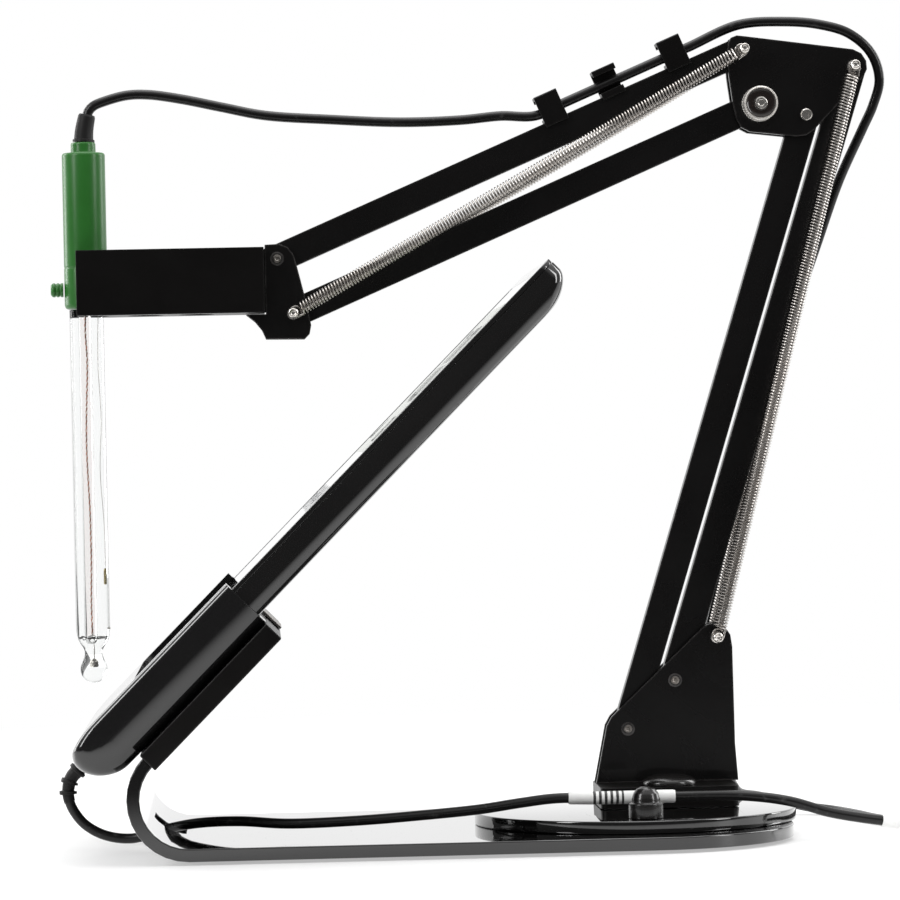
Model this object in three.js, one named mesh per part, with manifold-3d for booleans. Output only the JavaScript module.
// Slim bench pH meter on a bent acrylic stand, with a spring-balanced electrode arm.
// Millimetres, +Z up. X runs from the user's side (-X) to the back (+X), Y across the stand.
// Origin: on the table, under the centre of the round swivel disc.
// "Near" pieces lie on the -Y side of the arm, "far" pieces on the +Y side.
import * as THREE from 'three';
import { mergeVertices } from 'three/addons/utils/BufferGeometryUtils.js';
import Module from 'manifold-3d';

const manifold = await Module();
manifold.setup();

// ---- driving dimensions ----
// The raised leg, cradle and meter share a sloping frame: "along" runs up the slope,
// "height" runs along its normal, out of the meter's face.
const TILT = Math.PI / 4;
const STAND = {
  width: 140, bottom: 1.0, thick: 4.4,
  tailX: 53.4, tailRadius: 52,
  bendRadius: 18.5,          // to the middle of the sheet
  legBack: 141.2,            // height of the leg's back face
  legTop: -37,               // along the slope
};
const STAND_TOP = STAND.bottom + STAND.thick;
const LEG_FRONT = STAND.legBack + STAND.thick;
const DISC = { radius: 56.3, bottom: STAND_TOP, top: 9.8 };
const METER = { length: 202, width: 140, back: 150.4, front: 163.1, top: 120 };
const METER_BOTTOM = METER.top - METER.length;
const METER_SIDE = METER.width / 2;
const CRADLE = { width: 147, back: 147.3, front: 165.8, top: -33.6 };
const CRADLE_SIDE = CRADLE.width / 2;
const JACK_AXIS = [0, 0, 157];
const SWIVEL = { x: 12.4, y: 3 };
const BOLT_HOLE = circle(SWIVEL.x, SWIVEL.y, 3.4, 20);
const FOOT = { x0: -12.4, x1: 36.2, y0: -7, y1: 31, bottom: 10.1, top: 17.4 };
const KNOB = { x: 0, y: -45 };
const PIVOT = {              // arm pivots, [x, z]
  footFront: [-0.5, 36.4],
  footRear: [16.6, 53.3],
  footSpring: [31.7, 68.3],
  knuckleFront: [67.5, 252.9],
  knuckleRear: [84.6, 269.8],
  knuckleTop: [45.4, 276.3],
  knuckleLow: [50.7, 256.8],
  headTop: [-121.2, 205.3],
  headLow: [-115.9, 185.8],
};
const BAR_WIDTH = 10;
const BAR_Y = [18.9, 24.1];
const NEAR_PLATE_Y = [16.6, 18.4];
const FAR_PLATE_Y = [24.6, 26.4];
const RIVET_Y = [15.5, 27.5];
const POST_Y = [9.6, 33.4];
const SPRING_NEAR_Y = 13.0;
const SPRING_FAR_Y = 30.0;
const ARM_MID_Y = 21.5;
const PIN_RADIUS = 1.5;
const PIN_HOLE_RADIUS = 1.95;
const PROBE = { x: -188.8, y: 21, handleRadius: 7.6 };
const CABLE_RADIUS = 1.75;

// ---- materials ----
const surface = (options) => new THREE.MeshStandardMaterial(options);
const MATERIAL = {
  acrylic: surface({ color: 0x101112, roughness: 0.08 }),
  black: surface({ color: 0x151515, roughness: 0.42 }),
  satin: surface({ color: 0x1b1b1b, roughness: 0.55 }),
  armBar: surface({ color: 0x161616, roughness: 0.38 }),
  steel: surface({ color: 0xb9b7b2, roughness: 0.25, metalness: 1 }),
  rubber: surface({ color: 0x1c1c1c, roughness: 0.8 }),
  green: surface({ color: 0x326130, roughness: 0.35 }),
  glass: surface({ color: 0xe6ecea, roughness: 0.03 }),
  inner: surface({ color: 0xf0f1ee, roughness: 0.15 }),
  cable: surface({ color: 0x191a1c, roughness: 0.4 }),
  pcb: surface({ color: 0x1f5a35, roughness: 0.5 }),
  lcd: surface({ color: 0xa9b3a0, roughness: 0.25 }),
  battery: surface({ color: 0x8d9196, roughness: 0.4 }),
  touch: surface({ color: 0x0b0c0d, roughness: 0.08 }),
};

const root = new THREE.Group();
const slope = new THREE.Group();
slope.rotation.y = -TILT;

function add(name, geometry, material, parent = root) {
  const mesh = new THREE.Mesh(geometry, material);
  mesh.name = name;
  parent.add(mesh);
}
const addToSlope = (name, geometry, material) => add(name, geometry, material, slope);

// ---- outlines: lists of [x, y] points ----
function arc(x, y, radius, start, sweep, steps) {
  return Array.from({ length: steps + 1 }, (_, i) => {
    const angle = start + (sweep * i) / steps;
    return [x + radius * Math.cos(angle), y + radius * Math.sin(angle)];
  });
}

// a closed circle, without repeating its first point
function circle(x, y, radius, sides = 16) {
  return arc(x, y, radius, 0, Math.PI * 2, sides).slice(0, sides);
}

const pinHole = (pivot) => circle(...pivot, PIN_HOLE_RADIUS);

function rectangle(x0, x1, y0, y1, radius = 0, segments = 1) {
  const corners = [[x0, y0], [x1, y0], [x1, y1], [x0, y1]];
  if (!radius) return corners;
  return corners.flatMap(([x, y], i) => {
    const centreX = x === x0 ? x + radius : x - radius;
    const centreY = y === y0 ? y + radius : y - radius;
    return arc(centreX, centreY, radius, Math.PI + (i * Math.PI) / 2, Math.PI / 2, segments);
  });
}

// frame on the line from one [x, z] point to another: at(distance along, offset to its left)
function lineFrame(from, to) {
  const along = new THREE.Vector2(to[0] - from[0], to[1] - from[1]);
  const length = along.length();
  along.normalize();
  const normal = new THREE.Vector2(-along.y, along.x);
  const at = (distance, offset) => [
    from[0] + along.x * distance + normal.x * offset,
    from[1] + along.y * distance + normal.y * offset,
  ];
  return { along, normal, length, at };
}

// ---- solids ----
function extrude(outline, holes, depth) {
  const vectors = (points) => points.map(([x, y]) => new THREE.Vector2(x, y));
  const shape = new THREE.Shape(vectors(outline));
  shape.holes = holes.map((hole) => new THREE.Path(vectors(hole)));
  return new THREE.ExtrudeGeometry(shape, { depth, bevelEnabled: false });
}

// outline in (x, z) pushed through y0..y1
function sideways(outline, y0, y1, holes = []) {
  return extrude(outline, holes, y1 - y0).rotateX(Math.PI / 2).translate(0, y1, 0);
}

// outline in (x, y) raised through z0..z1
function upward(outline, z0, z1, holes = []) {
  return extrude(outline, holes, z1 - z0).translate(0, 0, z0);
}

function box(x0, x1, y0, y1, z0, z1) {
  return new THREE.BoxGeometry(x1 - x0, y1 - y0, z1 - z0)
    .translate((x0 + x1) / 2, (y0 + y1) / 2, (z0 + z1) / 2);
}

// turned piece: profile of [radius, distance along the axis]
function turned(profile, axis, centre, sides) {
  const points = profile.map(([radius, distance]) => new THREE.Vector2(radius, distance));
  const geometry = new THREE.LatheGeometry(points, sides);
  if (axis === 'z') geometry.rotateX(Math.PI / 2);
  if (axis === 'x') geometry.rotateZ(-Math.PI / 2);
  return weld(geometry.translate(...centre));
}

const rodProfile = (radius, from, to) => [[0, from], [radius, from], [radius, to], [0, to]];

// round tube swept along a smooth curve through the points
function tube(points, radius, stepsPerSpan) {
  const vectors = points.map((point) => new THREE.Vector3(...point));
  const section = new THREE.Shape(circle(0, 0, radius, 8).map((p) => new THREE.Vector2(...p)));
  return weld(new THREE.ExtrudeGeometry(section, {
    steps: (points.length - 1) * stepsPerSpan,
    bevelEnabled: false,
    extrudePath: new THREE.CatmullRomCurve3(vectors, false, 'centripetal'),
  }));
}

// shares coincident vertices and drops the triangles that collapse, leaving a closed mesh
function weld(geometry) {
  geometry.deleteAttribute('normal');
  geometry.deleteAttribute('uv');
  const merged = mergeVertices(geometry, 1e-4);
  const index = merged.index.array;
  const kept = [];
  for (let i = 0; i < index.length; i += 3) {
    const [a, b, c] = [index[i], index[i + 1], index[i + 2]];
    if (a !== b && b !== c && a !== c) kept.push(a, b, c);
  }
  merged.setIndex(kept);
  merged.computeVertexNormals();
  return merged;
}

function solid(geometry) {
  const welded = weld(geometry);
  return new manifold.Manifold(new manifold.Mesh({
    numProp: 3,
    vertProperties: new Float32Array(welded.attributes.position.array),
    triVerts: new Uint32Array(welded.index.array),
  }));
}

// takes the cutter geometries out of a solid and returns geometry
function cut(body, ...cutters) {
  const mesh = cutters.reduce((rest, cutter) => rest.subtract(solid(cutter)), body).getMesh();
  const geometry = new THREE.BufferGeometry();
  const positions = new Float32Array(mesh.vertProperties);
  geometry.setAttribute('position', new THREE.BufferAttribute(positions, 3));
  geometry.setIndex(Array.from(mesh.triVerts));
  geometry.computeVertexNormals();
  return geometry;
}

// ---- stand: flat base, a 135 degree bend at the user's end, then the sloping leg ----
function addStandPlate() {
  const { width, bottom, thick, tailX, tailRadius, bendRadius, legBack, legTop } = STAND;
  const side = width / 2;
  const half = thick / 2;
  const bendZ = bottom + half + bendRadius;
  const bendX = bendZ - (legBack + half - bendRadius) / Math.SQRT1_2;
  const bend = (radius) => arc(bendX, bendZ, radius, -Math.PI / 2, (-Math.PI * 3) / 4, 12);
  const fromSlope = (along, height) =>
    [(along - height) * Math.SQRT1_2, (along + height) * Math.SQRT1_2];
  const profile = [
    [tailX, bottom],
    ...bend(bendRadius + half),
    fromSlope(legTop, LEG_FRONT),
    fromSlope(legTop, legBack),
    ...bend(bendRadius - half).reverse(),
    [tailX, STAND_TOP],
  ];
  // plan with large rounded corners at the back
  const cornerX = tailX - tailRadius;
  const cornerY = side - tailRadius;
  const plan = [
    [-200, -side],
    ...arc(cornerX, -cornerY, tailRadius, -Math.PI / 2, Math.PI / 2, 12),
    ...arc(cornerX, cornerY, tailRadius, 0, Math.PI / 2, 12),
    [-200, side],
  ];
  const sheet = solid(sideways(profile, -side, side)).intersect(solid(upward(plan, -1, 90)));
  const bendSlot = box(-180, -157, -12, 8, -2, 11.5);
  add('stand_plate', cut(sheet, bendSlot), MATERIAL.acrylic);
}

function addFootStrips() {
  const top = 0.95;
  add('foot_strip_front', upward(rectangle(-148, -136, -58, 58, 3, 3), 0, top), MATERIAL.rubber);
  add('foot_strip_rear', upward(rectangle(-8, 42, -40, 40, 4, 3), 0, top), MATERIAL.rubber);
}

function addDisc() {
  const holes = [BOLT_HOLE, circle(KNOB.x, KNOB.y, 2.4)];
  const disc = upward(circle(0, 0, DISC.radius, 64), DISC.bottom + 0.05, DISC.top, holes);
  add('swivel_disc', disc, MATERIAL.acrylic);
}

// screw through the disc with a domed head
function addClampKnob() {
  const screwEnd = DISC.bottom + 0.6;
  const headBottom = DISC.top + 0.15;
  const profile = [
    [0, screwEnd], [2.0, screwEnd], [2.0, headBottom], [5.9, headBottom], [5.9, 15.0],
    [4.9, 15.4], [4.7, 17.0], [4.0, 19.0], [2.4, 20.4], [0, 20.9],
  ];
  add('clamp_knob', turned(profile, 'z', [KNOB.x, KNOB.y, 0], 24), MATERIAL.black);
}

// ---- cradle, in the sloping frame ----
function addCradleSheath() {
  const side = CRADLE_SIDE - 0.5;
  const legSide = STAND.width / 2 + 0.35;
  const sheath = solid(box(-94.6, -33.8, -side, side, 139.8, 147.0));
  const legSlot = box(-100, -36.4, -legSide, legSide, STAND.legBack - 0.3, LEG_FRONT + 0.3);
  addToSlope('cradle_sheath', cut(sheath, legSlot), MATERIAL.satin);
}

function addReleaseTab() {
  const outline = [            // [along, height]
    [-33.4, 140.6], [-32.6, 140.6], [-32.6, 149.4],
    [-33.3, 149.4], [-33.3, 147.2], [-33.4, 147.2],
  ];
  addToSlope('release_tab', sideways(outline, -16, 16), MATERIAL.steel);
}

function addCradleBody() {
  const { top, back, front } = CRADLE;
  const outline = [            // [along, height]
    [top, back], [top, front], [-98, front], [-103, 165.5], [-107.4, 164.6],
    [-110.2, 163.3], [-111.8, 161], [-112.1, 158.2], [-111.6, 156], [-110.4, 153.6],
    [-108.5, 151.3], [-105.4, 149.0], [-101.9, 147.6], [-96, back],
  ];
  const gap = 0.4;             // round the meter
  const pocketSide = METER_SIDE + gap;
  const pocket = box(METER_BOTTOM - gap, -20, -pocketSide, pocketSide,
    METER.back - gap, METER.front + 0.5);
  const frontWindow = box(-78, -20, -62, 62, METER.front - 1, 175);
  const plugBore = turned(rodProfile(4.7, -120, -80), 'x', JACK_AXIS, 20);
  const body = solid(sideways(outline, -CRADLE_SIDE, CRADLE_SIDE));
  addToSlope('cradle_body', cut(body, pocket, frontWindow, plugBore), MATERIAL.black);
}

// jack plug with its ribbed strain relief
function addJackPlug() {
  const ribs = [0, 1, 2].flatMap((i) => {
    const start = -118.7 + i * 2.2;
    const crest = 3.2 + i * 0.12;
    return [
      [2.5 + i * 0.1, start], [crest, start + 0.25],
      [crest, start + 1.2], [2.6 + i * 0.1, start + 1.45],
    ];
  });
  const profile = [
    [0, -119.5], [2.4, -119.5], ...ribs, [4.1, -112.4], [4.1, -84.2],
    [1.7, -84.2], [1.7, -72.6], [1.3, -71.6], [0, -71.2],
  ];
  addToSlope('jack_plug', turned(profile, 'x', JACK_AXIS, 16), MATERIAL.rubber);
}

// ---- meter, in the sloping frame ----
const BUTTON_Y = 50;
const USB_Y = -50;

// rectangle set in from the meter's bottom, top and both sides
function meterPlan(bottomInset, inset, radius, segments) {
  const side = METER_SIDE - inset;
  return rectangle(METER_BOTTOM + bottomInset, METER.top - inset, -side, side, radius, segments);
}

// box centred on y, with heights above the meter's back
function meterBox(x0, x1, y, halfWidth, low, high) {
  return box(x0, x1, y - halfWidth, y + halfWidth, METER.back + low, METER.back + high);
}

function addRearHousing() {
  const { top, back } = METER;
  const rim = METER.front - 1.8;
  const outline = [            // [along, height]
    [METER_BOTTOM, back + 3], [METER_BOTTOM + 3, back], [top - 11, back],
    [top - 6.4, back + 1.3], [top - 2.6, back + 3.2], [top - 0.6, back + 5.4],
    [top, back + 7.4], [top, rim], [METER_BOTTOM, rim],
  ];
  const shell = solid(sideways(outline, -METER_SIDE, METER_SIDE))
    .intersect(solid(upward(meterPlan(0, 0, 6, 6), 140, 170)));
  const wideCavity = upward(meterPlan(2, 2, 4.5, 4), back + 7.6, 170);
  const deepCavity = meterBox(METER_BOTTOM + 6, top - 16, 0, METER_SIDE - 4, 1.6, 8);
  const jackHole = turned([
    [0, METER_BOTTOM - 2], [4.4, METER_BOTTOM - 2], [4.4, METER_BOTTOM + 5],
    [4.1, METER_BOTTOM + 7], [0, METER_BOTTOM + 7],
  ], 'x', JACK_AXIS, 16);
  const buttonHole = meterBox(top - 4, top + 2, BUTTON_Y, 6.6, 6.3, 9.9);
  const usbHole = meterBox(top - 4, top + 2, USB_Y, 4.5, 7.35, 10.85);
  const housing = cut(shell, wideCavity, deepCavity, jackHole, buttonHole, usbHole);
  addToSlope('meter_rear_housing', housing, MATERIAL.black);
}

function addMeterFront() {
  const { front, top } = METER;
  const opening = meterPlan(8.7, 7.7, 3, 4);
  const bezel = upward(meterPlan(0.2, 0.2, 6, 6), front - 1.75, front, [opening]);
  const panel = upward(meterPlan(9, 8, 2.8, 4), front - 1.5, front - 0.15);
  const lcd = box(26, 104, -54, 54, front - 3.6, front - 1.85);
  const board = upward(rectangle(METER_BOTTOM + 14, top - 14, -60, 60), front - 4.8, front - 3.9);
  addToSlope('meter_front_bezel', bezel, MATERIAL.black);
  addToSlope('touch_panel', panel, MATERIAL.touch);
  addToSlope('lcd_module', lcd, MATERIAL.lcd);
  addToSlope('main_pcb', board, MATERIAL.pcb);
}

function addBattery() {
  addToSlope('battery_pack', meterBox(-30, 46, 0, 32, 1.9, 7.0), MATERIAL.battery);
}

function addJackSocket() {
  const body = solid(meterBox(METER_BOTTOM + 6.4, METER_BOTTOM + 13.7, 0, 5, 2.2, 10.6));
  const bore = turned([
    [0, METER_BOTTOM - 2], [4.4, METER_BOTTOM - 2], [4.4, METER_BOTTOM + 5.4],
    [2.05, METER_BOTTOM + 5.6], [2.05, METER_BOTTOM + 11.6], [0, METER_BOTTOM + 11.6],
  ], 'x', JACK_AXIS, 16);
  addToSlope('jack_socket', cut(body, bore), MATERIAL.satin);
}

function addUsbSocket() {
  const body = solid(meterBox(METER.top - 12, METER.top - 1.2, USB_Y, 4.2, 7.7, 10.5));
  const opening = meterBox(METER.top - 9, METER.top + 2, USB_Y, 3.6, 8.2, 10.0);
  addToSlope('usb_socket', cut(body, opening), MATERIAL.steel);
}

function addPowerButton() {
  const half = 6.2;
  const plan = rectangle(METER.top - 3.2, METER.top + 0.9, BUTTON_Y - half, BUTTON_Y + half);
  const button = upward(plan, METER.back + 6.7, METER.back + 9.5);
  addToSlope('power_button', button, MATERIAL.satin);
}

// ---- arm parts ----
// pin along Y with a head at each end
function addPin(name, [x, z], [y0, y1], { headRadius = 2.3, headThick = 0.8 } = {}) {
  const profile = [
    [0, y0], [headRadius, y0], [headRadius, y0 + headThick], [PIN_RADIUS, y0 + headThick],
    [PIN_RADIUS, y1 - headThick], [headRadius, y1 - headThick], [headRadius, y1], [0, y1],
  ];
  add(name, turned(profile, 'y', [x, 0, z], 16), MATERIAL.steel);
}

const addPost = (name, pivot) => addPin(name, pivot, POST_Y, { headRadius: 2.4 });

// matching side plates on both sides of the bars
function addPlates(name, outline, pivots) {
  const holes = pivots.map(pinHole);
  add(`${name}_near`, sideways(outline, ...NEAR_PLATE_Y, holes), MATERIAL.armBar);
  add(`${name}_far`, sideways(outline, ...FAR_PLATE_Y, holes), MATERIAL.armBar);
}

// round-ended bar between two pivots
function addBar(name, from, to) {
  const { length, at } = lineFrame(from, to);
  const radius = BAR_WIDTH / 2;
  const outline = [
    ...arc(0, 0, radius, Math.PI / 2, Math.PI, 8),
    ...arc(length, 0, radius, Math.PI * 1.5, Math.PI, 8),
  ].map((point) => at(...point));
  add(name, sideways(outline, ...BAR_Y, [pinHole(from), pinHole(to)]), MATERIAL.armBar);
}

// spring as a flat solid envelope with an eye at each end
function addSpring(name, from, to, y) {
  const { length, at } = lineFrame(from, to);
  const eyeRadius = 3.1;
  const eyeSweep = Math.PI * 1.4;
  const neck = 4.2;            // from the eye's centre to the neck
  const neckHalf = 1.4;
  const coil = 5.2;            // from the eye's centre to the first coil
  const coilRadius = 2.5;
  const halfThick = 1.6;
  const outline = [
    ...arc(0, 0, eyeRadius, Math.PI * 0.3, eyeSweep, 10),
    [neck, -neckHalf], [coil, -coilRadius],
    [length - coil, -coilRadius], [length - neck, -neckHalf],
    ...arc(length, 0, eyeRadius, Math.PI * 1.3, eyeSweep, 10),
    [length - neck, neckHalf], [length - coil, coilRadius],
    [coil, coilRadius], [neck, neckHalf],
  ].map((point) => at(...point));
  const eyes = [from, to].map((pivot) => circle(...pivot, PIN_HOLE_RADIUS, 12));
  add(name, sideways(outline, y - halfThick, y + halfThick, eyes), MATERIAL.steel);
}

function addSwivelFoot() {
  const plan = rectangle(FOOT.x0, FOOT.x1, FOOT.y0, FOOT.y1, 2.5, 3);
  add('foot_block', upward(plan, FOOT.bottom, FOOT.top, [BOLT_HOLE]), MATERIAL.satin);

  const seat = FOOT.top + 0.05;
  const boltEnd = DISC.bottom + 0.5;
  const bolt = [
    [0, boltEnd], [3.0, boltEnd], [3.0, seat], [9.6, seat], [9.6, 18.4],
    [8.6, 19.6], [6.4, 20.6], [3, 21.1], [0, 21.2],
  ];
  add('swivel_bolt', turned(bolt, 'z', [SWIVEL.x, SWIVEL.y, 0], 24), MATERIAL.black);

  const outline = [            // [x, z]
    [-12.1, seat], [38.4, seat], [37.5, 30.3], [37.2, 64.8], [36.6, 69.0], [34.8, 71.8],
    [31.7, 73.2], [28.6, 72.8], [26.6, 71.6], [-6.2, 40.8], [-8.0, 37.6],
  ];
  addPlates('foot_plate', outline, [PIVOT.footFront, PIVOT.footRear, PIVOT.footSpring]);
  addPin('front_foot_rivet', PIVOT.footFront, RIVET_Y);
  addPin('rear_foot_rivet', PIVOT.footRear, RIVET_Y);
  addPost('lower_spring_post', PIVOT.footSpring);
}

function addBars() {
  addBar('front_lower_bar', PIVOT.footFront, PIVOT.knuckleFront);
  addBar('rear_lower_bar', PIVOT.footRear, PIVOT.knuckleRear);
  addBar('top_upper_bar', PIVOT.headTop, PIVOT.knuckleTop);
  addBar('bottom_upper_bar', PIVOT.headLow, PIVOT.knuckleLow);
}

// joint between the lower and upper bars
function addKnuckle() {
  const { knuckleFront, knuckleRear, knuckleTop, knuckleLow } = PIVOT;
  const outline = [            // [x, z]
    [40.2, 278.6], [41.2, 280.6], [43.3, 281.4], [46.6, 281.0], [84.6, 275.8],
    [87.6, 274.3], [89.3, 271.6], [89.5, 268.6], [88.2, 266.0], [84.6, 262.6],
    [78.5, 256.0], [70.2, 247.4], [67.4, 245.6], [64.0, 245.2], [47.2, 247.2],
    [44.2, 248.8], [42.6, 251.6], [41.6, 256.2], [40.2, 266.9], [39.8, 274.0],
  ];
  addPlates('knuckle_plate', outline, [knuckleFront, knuckleRear, knuckleTop, knuckleLow]);
  addPin('knuckle_front_screw', knuckleFront, [15.2, 27.5], { headThick: 1.0 });
  addPost('knuckle_rear_post', knuckleRear);
  addPost('upper_spring_post', knuckleTop);

  const knob = [               // [radius, y]
    [0, 8.4], [2.3, 8.4], [2.3, 9.4], [4.6, 9.4], [5.2, 9.0], [6.2, 9.6], [6.2, 15.2],
    [5.6, 15.9], [PIN_RADIUS, 15.9], [PIN_RADIUS, 26.8], [2.3, 26.8], [2.3, 28.4], [0, 28.4],
  ];
  const centre = [knuckleLow[0], 0, knuckleLow[1]];
  add('tension_knob', turned(knob, 'y', centre, 24), MATERIAL.black);
}

function addHead() {
  const outline = [            // [x, z]
    [-125.5, 210.3], [-125.5, 185.8], [-132.6, 185.8], [-129.4, 183.2], [-127.0, 180.2],
    [-125.6, 177.0], [-112.0, 176.8], [-110.2, 178.6], [-109.6, 181.6], [-111.6, 191.6],
    [-114.1, 202.0], [-115.3, 206.4], [-117.4, 209.3], [-120.4, 210.5],
  ];
  addPlates('head_plate', outline, [PIVOT.headTop, PIVOT.headLow]);
  addPin('head_rivet', PIVOT.headTop, RIVET_Y, { headRadius: 1.75 });
  addPost('head_spring_post', PIVOT.headLow);
}

// block with a round seat for the probe, open toward the user, and a tongue into the head
function addProbeHolder() {
  const { x, y } = PROBE;
  const half = 13;
  const seatRadius = 8.0;
  const front = -191.8;
  const rear = -125.9;
  const mouth = Math.acos((front - x) / seatRadius);
  const plan = [
    [rear, y - half], [rear, y + half], [front, y + half],
    ...arc(x, y, seatRadius, mouth, -2 * mouth, 20),
    [front, y - half],
  ];
  const holes = [-168, -150].map((holeX) => circle(holeX, y, 6.4, 20));
  const tongue = box(rear - 2, -122.0, 18.7, 24.3, 187.2, 198.2);
  const notch = box(-128.2, -120, 18.2, 24.8, 198.6, 212);
  const body = solid(upward(plan, 186.2, 209.2, holes)).add(solid(tongue));
  add('probe_holder', cut(body, notch), MATERIAL.satin);
}

// C-shaped clips on the top bar, open toward -Y
const TOP_BAR = lineFrame(PIVOT.headTop, PIVOT.knuckleTop);
function addCableClips() {
  const { along, normal, at } = TOP_BAR;
  const length = 9.4;
  const section = [            // [y, height above the bar]
    [-4, 0], [4, 0], [4, 6.6], [2.6, 7.4], [-3.6, 7.4],
    [-3.6, 6.2], [1.9, 6.2], [2.4, 5.8], [2.4, 1.6], [-4, 1.6],
  ];
  const orient = new THREE.Matrix4().makeBasis(
    new THREE.Vector3(0, 1, 0),
    new THREE.Vector3(normal.x, 0, normal.y),
    new THREE.Vector3(along.x, 0, along.y),
  );
  [110.5, 133.0, 158.2].forEach((distance, i) => {
    const [x, z] = at(distance, BAR_WIDTH / 2 + 0.1);
    const clip = upward(section, -length / 2, length / 2)
      .applyMatrix4(orient)
      .translate(x, ARM_MID_Y, z);
    add(`cable_clip_${i + 1}`, clip, MATERIAL.satin);
  });
}

function addSprings() {
  const { knuckleRear, footSpring, knuckleTop, headLow } = PIVOT;
  addSpring('lower_spring_near', knuckleRear, footSpring, SPRING_NEAR_Y);
  addSpring('lower_spring_far', knuckleRear, footSpring, SPRING_FAR_Y);
  addSpring('upper_spring_near', knuckleTop, headLow, SPRING_NEAR_Y);
  addSpring('upper_spring_far', knuckleTop, headLow, SPRING_FAR_Y);
}

// ---- probe: profiles are [radius, z] unless noted ----
function addProbe() {
  const { x, y, handleRadius } = PROBE;
  const axis = [x, y, 0];
  const handle = [
    [0, 205], [2.2, 205], [2.2, 188.9], [6.6, 188.9], [handleRadius, 189.9],
    [handleRadius, 243.2], [7.0, 244.0], [4.35, 244.2], [4.35, 247.2], [3.9, 247.8], [0, 247.8],
  ];
  add('probe_handle', turned(handle, 'z', axis, 32), MATERIAL.green);

  const boot = [[x + 0.2, y, 248.1], [x + 0.5, y, 252], [x + 1.6, y, 257.4]];
  add('probe_boot', tube(boot, 3.3, 3), MATERIAL.rubber);

  const glass = [              // down the inner wall, round the bulb, up the outer wall
    [4.9, 188.6], [4.9, 72.4], [2.8, 70.8], [2.8, 66.8], [3.8, 64.0], [4.0, 61.9],
    [3.4, 59.6], [2.2, 58.1], [0, 57.7], [0, 56.9], [2.6, 57.4], [4.1, 59.2],
    [4.75, 61.9], [4.55, 64.4], [3.5, 67.2], [3.6, 70.0], [5.6, 71.2], [6.0, 72.4],
    [6.0, 188.6], [4.9, 188.6],
  ];
  add('probe_glass', turned(glass, 'z', axis, 24), MATERIAL.glass);

  const stem = turned(rodProfile(1.7, 71.4, 204.6), 'z', axis, 12);
  add('probe_inner_stem', stem, MATERIAL.inner);

  const cap = [                // [radius, x]
    [0, -201.2], [1.9, -201.2], [2.5, -200.6], [2.5, -196.8], [0, -196.8],
  ];
  add('fill_cap', turned(cap, 'x', [0, y, 195.8], 16), MATERIAL.green);
}

// ---- cable: one run in six lengths, stations [x, y, z] ----
// stations over the top bar, by distance from its head pivot
const CLIPPED_STATIONS = [104.5, 116.5, 127, 139, 152, 164.5].map((distance) => {
  const [x, z] = TOP_BAR.at(distance, 8.9);
  return [x, 21, z];
});
const CABLES = {
  cable_probe_lead: [
    [-186.6, 21, 258.9], [-184.9, 21, 260.6], [-180.4, 21, 262.4], [-173, 21, 264.2],
    [-165.5, 21, 264.3], [-154.2, 21, 262.6], [-139.5, 21, 259.4], [-124.7, 21, 256.3],
    [-101.4, 21, 254.4],
  ],
  cable_arm_run: [
    [-100.7, 21, 254.4], [-76.3, 21, 253.0], [-55, 21, 253.4], [-40.9, 21, 254.6],
    ...CLIPPED_STATIONS, [44.4, 21, 285.5],
  ],
  cable_knuckle_loop: [
    [45.2, 21, 285.6], [60.5, 21, 286.4], [73.2, 21, 285.2], [83.9, 21, 281.8],
    [91.8, 21.4, 274.6], [94.6, 22.2, 265.4], [92.4, 23.6, 256.4], [88.6, 25.4, 248.0],
  ],
  cable_post_run: [
    [88.1, 25.8, 246.9], [80.4, 30, 229.9], [73.0, 34.4, 208.8], [66.4, 36.4, 190],
    [58, 37, 162], [49, 37, 132], [40, 37, 102], [34.2, 37, 82],
  ],
  cable_foot_drop: [
    [33.8, 37, 81.0], [30.2, 37, 64], [28.6, 37.2, 46], [30.4, 38, 30.0], [36, 40, 18.5],
  ],
  cable_base_run: [
    [37.3, 40.6, 17.2], [39.2, 46.5, 14.2], [43.3, 57, 9.6], [51, 65.5, 7.6],
    [60.5, 71.5, 5.0], [70, 73, 2.6], [78, 65, 1.85], [83.6, 46, 1.85],
    [88.4, 24, 1.85], [94.5, 9, 1.85], [103, 2, 1.85], [110, -5, 1.85],
    [111.5, -15, 1.85], [106, -25, 2.0], [97.5, -29.5, 3.4], [88.7, -30, 5.0],
    [76, -32, 7.0], [64, -33, 9.4], [50, -33, 13.6], [34, -33, 15.8],
    [12, -33, 16.2], [-14, -33, 16.2], [-30, -33, 16.4], [-42, -33.4, 15.2],
    [-56, -34, 13.4], [-76, -36, 12.0], [-98, -37, 10.8], [-122, -35, 10.2],
    [-138, -29, 10.9], [-153, -17, 9.6], [-164.4, -6, 6.8], [-176, -2, 3.6],
    [-185.4, -1, 4.9], [-192.4, -0.4, 8.9], [-196.4, 0, 14.2], [-197.7, 0, 18.0],
    [-197.8, 0, 21.2], [-197.2, 0, 23.9], [-196.1, 0, 25.85],
  ],
};
function addCables() {
  for (const [name, stations] of Object.entries(CABLES)) {
    add(name, tube(stations, CABLE_RADIUS, 2), MATERIAL.cable);
  }
}

// ---- assembly ----
addStandPlate();
addFootStrips();
addDisc();
addClampKnob();

root.add(slope);
addCradleSheath();
addReleaseTab();
addCradleBody();
addJackPlug();
addRearHousing();
addMeterFront();
addBattery();
addJackSocket();
addUsbSocket();
addPowerButton();

addSwivelFoot();
addBars();
addKnuckle();
addHead();
addProbeHolder();
addCableClips();
addSprings();
addProbe();
addCables();

export default root;
